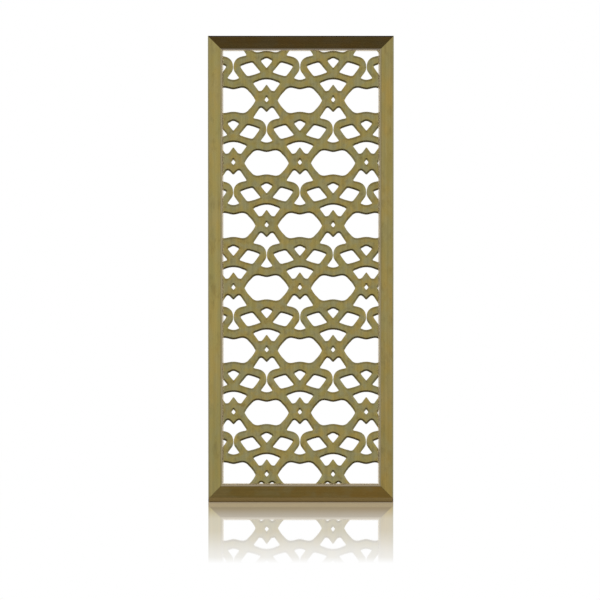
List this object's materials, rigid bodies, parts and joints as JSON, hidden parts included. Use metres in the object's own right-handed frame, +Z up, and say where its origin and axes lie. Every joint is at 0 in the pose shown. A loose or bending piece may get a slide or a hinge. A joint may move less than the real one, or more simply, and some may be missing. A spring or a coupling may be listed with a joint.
{
  "type": "partition screen",
  "caption": "Tall metal room-divider screen: a mitred hollow frame with sloping faces round a flat interlaced fretwork panel.",
  "frame": {"origin": "on the floor, under the middle of the screen's width and depth", "axes": "+Z up, X along the width, -Y is the front with the sloping faces"},
  "size_m": [0.8, 0.05, 2.014],
  "materials": {
    "frame_brass": "antique brass coloured, brushed along each member",
    "panel_brass": "antique brass coloured, fine satin",
    "seal_rubber": "translucent pale brown sealing strip",
    "cap_rubber": "matt black moulded plug",
    "screw_steel": "bright zinc",
    "cast_alloy": "as cast",
    "packer_nylon": "plain nylon"
  },
  "bodies": {
    "root": {"left_stile": "frame_brass", "right_stile": "frame_brass", "top_rail": "frame_brass", "bottom_rail": "frame_brass", "fret_panel": "panel_brass", "left_gasket": "seal_rubber", "right_gasket": "seal_rubber", "top_gasket": "seal_rubber", "bottom_gasket": "seal_rubber", "left_stop_bead": "frame_brass", "right_stop_bead": "frame_brass", "top_stop_bead": "frame_brass", "bottom_stop_bead": "frame_brass", "stop_bead_screws": "screw_steel", "panel_packers": "packer_nylon", "corner_key_top_left": "cast_alloy", "corner_key_top_right": "cast_alloy", "corner_key_bottom_left": "cast_alloy", "corner_key_bottom_right": "cast_alloy", "corner_key_screws": "screw_steel", "left_foot_cap": "cap_rubber", "right_foot_cap": "cap_rubber", "floor_inserts": "screw_steel", "ceiling_inserts": "screw_steel", "left_wall_inserts": "screw_steel", "right_wall_inserts": "screw_steel"}
  },
  "joints": []
}
